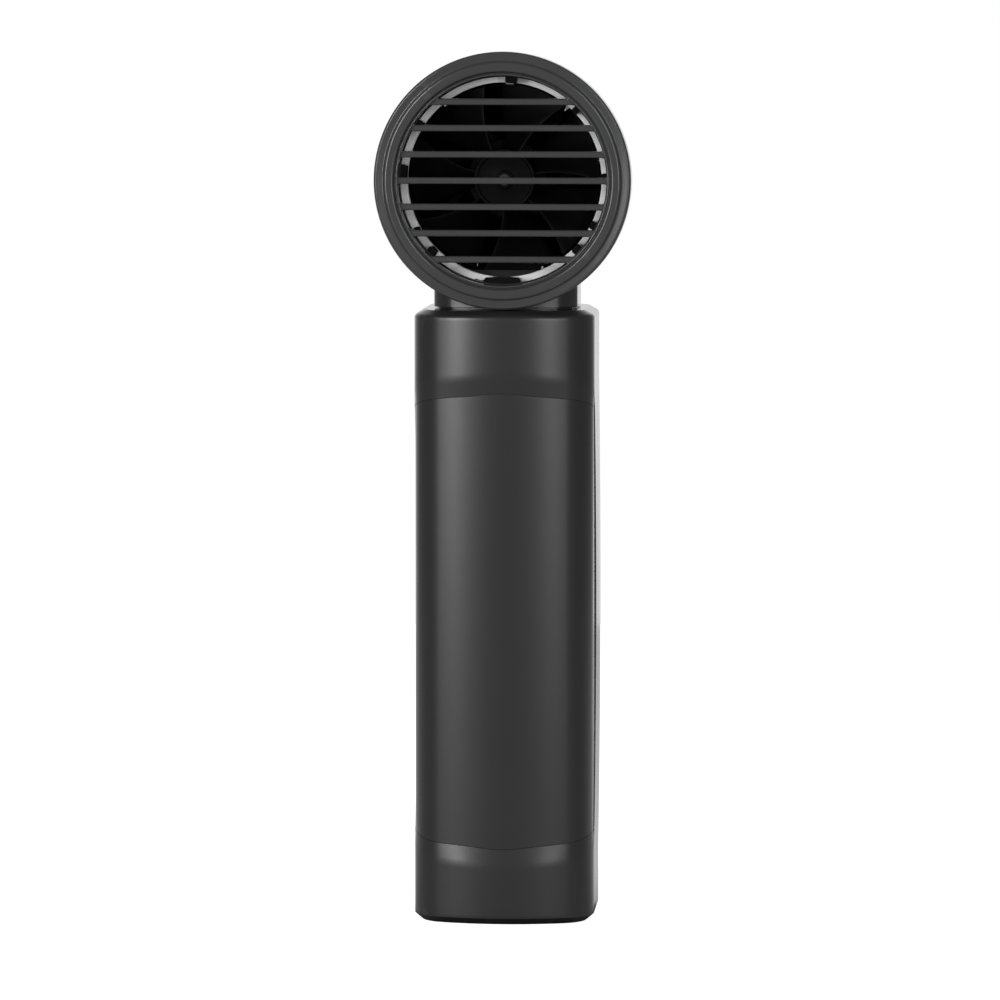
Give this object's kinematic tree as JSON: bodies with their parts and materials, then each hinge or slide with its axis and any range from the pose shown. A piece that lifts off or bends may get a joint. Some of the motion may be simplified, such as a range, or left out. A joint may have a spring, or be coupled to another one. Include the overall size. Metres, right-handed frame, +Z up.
{
  "type": "car dryer blower",
  "caption": "Cordless hand blower for drying cars: ducted fan head with slatted rear intake and converging nozzle on an upright battery handle.",
  "frame": {"origin": "centre of the handle's flat base, on the plane that it stands on", "axes": "+Z up along the handle, +Y the way the air leaves the nozzle, +X to the right of the user who looks along +Y"},
  "size_m": [0.066, 0.0935, 0.2242],
  "materials": {
    "shell": "fine matte grain",
    "grip": "soft matte",
    "bright_ring": "bright spun",
    "bright_trim": "polished",
    "fan_plastic": "satin",
    "key": "satin",
    "soft_rubber": "matte",
    "steel": "ground",
    "core_steel": "laminated",
    "magnet": "plain",
    "copper": "enamelled copper wire",
    "switch_case": "moulded",
    "light_pipe": "clear",
    "board": "green solder mask",
    "cell": "shrink sleeve over a steel can",
    "holder": "moulded",
    "nickel": "rolled strip"
  },
  "bodies": {
    "housing": {"intake_grille": "shell", "inlet_ring": "bright_ring", "fan_duct": "fan_plastic", "motor_core": "core_steel", "motor_windings": "copper", "front_bearing": "steel", "rear_bearing": "steel", "tail_cone": "fan_plastic", "duct_isolators": "soft_rubber", "head_shell": "shell", "outlet_nozzle": "shell", "outlet_trim": "bright_trim", "handle_shell": "shell", "grip_panel": "grip", "finger_cover": "shell", "base_cap": "shell", "trigger_spring": "steel", "speed_switch": "switch_case", "button_switch": "switch_case", "level_lights": "light_pipe", "main_board": "board", "battery_cells": "cell", "battery_holder": "holder", "cell_strips": "nickel", "charge_port": "steel", "charge_board": "board", "cover_screws": "steel", "base_screws": "steel"},
    "rotor": {"impeller": "fan_plastic", "fan_shaft": "steel", "rotor_magnet": "magnet"},
    "trigger": {"trigger": "key"},
    "power_button": {"power_button": "key"}
  },
  "joints": [
    {"name": "impeller_spin", "type": "hinge", "parent": "housing", "child": "rotor", "pos_m": [0, 0, 0.1912], "axis": [0, 1, 0], "continuous": true},
    {"name": "trigger_pull", "type": "slide", "parent": "housing", "child": "trigger", "axis": [0, -1, 0], "range_m": [0, 0.005], "stiffness_N_per_m": 400, "springref_m": -0.003, "deforming": ["trigger_spring"]},
    {"name": "power_press", "type": "slide", "parent": "housing", "child": "power_button", "axis": [0, -1, 0], "range_m": [0, 0.0008], "stiffness_N_per_m": 900, "springref_m": -0.001}
  ]
}
